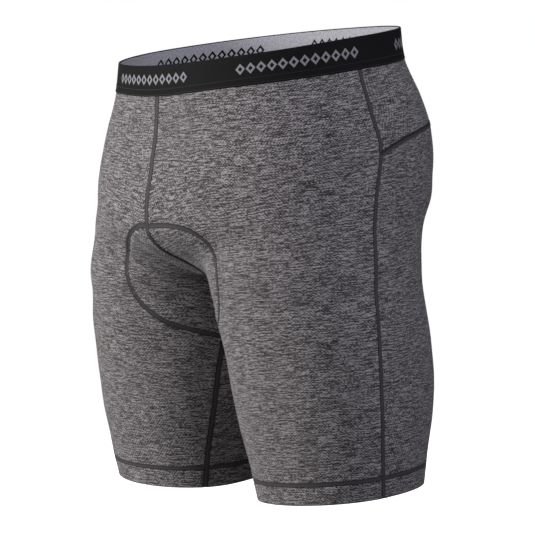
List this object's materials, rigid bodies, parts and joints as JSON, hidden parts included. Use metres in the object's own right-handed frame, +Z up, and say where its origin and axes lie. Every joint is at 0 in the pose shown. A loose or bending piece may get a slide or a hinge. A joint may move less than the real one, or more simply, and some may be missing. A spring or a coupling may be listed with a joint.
{
  "type": "cycling shorts",
  "caption": "Close-fitting knee-length cycling shorts in heather grey jersey with a wide black elastic waistband, a shaped back yoke and dark flat seams",
  "frame": {"origin": "the centre of the waist opening, at mid-height of the waistband, where the wearer's waist holds the shorts up", "axes": "+Z up, the wearer faces -Y, +X is the wearer's left"},
  "size_m": [0.3954, 0.2662, 0.4411],
  "materials": {
    "waistband_elastic": "matte woven elastic",
    "heather_jersey": "matte brushed knit"
  },
  "bodies": {
    "root": {"waistband": "waistband_elastic", "yoke": "heather_jersey", "front_left": "heather_jersey", "front_right": "heather_jersey", "back_left": "heather_jersey", "back_right": "heather_jersey"}
  },
  "joints": []
}
